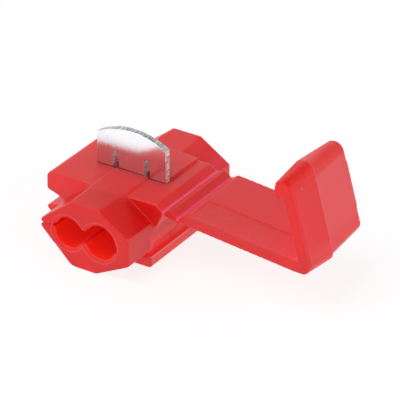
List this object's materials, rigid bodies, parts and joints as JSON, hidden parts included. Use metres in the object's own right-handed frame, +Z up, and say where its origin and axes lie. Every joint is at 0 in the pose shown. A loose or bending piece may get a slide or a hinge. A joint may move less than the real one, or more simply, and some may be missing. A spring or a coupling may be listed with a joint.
{
  "type": "in-line wire tap splice connector",
  "caption": "Moulded in-line wire splice: side-entry run channel beside a blind tap channel, a slotted blade contact pressed across both, and a folding strap cover with a snap latch.",
  "frame": {"origin": "on the underside of the housing, midway between the run and tap wire channels along X and at the middle of the housing along Y", "axes": "+X across the wires, from the open lips towards the hinge and the opened cover; +Y along the wires, from the tap wire's entry to its stop; +Z up, out of the contact's slot"},
  "size_m": [0.0332, 0.02, 0.0154],
  "materials": {
    "red_polypropylene": "moulded, slightly translucent, satin",
    "tin_plate": "bright tin over stamped strip"
  },
  "bodies": {
    "housing_body": {"housing": "red_polypropylene"},
    "link_body": {"hinge_link": "red_polypropylene"},
    "strap_body": {"cover_strap": "red_polypropylene"},
    "flap_body": {"latch_flap": "red_polypropylene"},
    "contact_body": {"contact": "tin_plate"}
  },
  "joints": [
    {"name": "contact_press", "type": "slide", "parent": "housing_body", "child": "contact_body", "axis": [0, 0, -1], "range_m": [0, 0.0049]},
    {"name": "link_fold", "type": "hinge", "parent": "housing_body", "child": "link_body", "pos_m": [0.00702, 0, 0.00695], "axis": [0, -1, 0], "range_deg": [0, 110], "stiffness_Nm_per_rad": 0.0015},
    {"name": "strap_fold", "type": "hinge", "parent": "link_body", "child": "strap_body", "pos_m": [0.00882, 0, 0.00668], "axis": [0, -1, 0], "range_deg": [0, 75.1], "stiffness_Nm_per_rad": 0.0015},
    {"name": "flap_flex", "type": "hinge", "parent": "strap_body", "child": "flap_body", "pos_m": [0.02288, 0, 0.00495], "axis": [0, 1, 0], "range_deg": [0, 24], "stiffness_Nm_per_rad": 0.002}
  ],
  "couplings": [
    {"joint": "link_fold", "follows": "contact_press", "rad_per_m": 391.81},
    {"joint": "strap_fold", "follows": "contact_press", "rad_per_m": 267.5},
    {"joint": "flap_flex", "follows": "contact_press", "rad_per_m": 85.486}
  ]
}
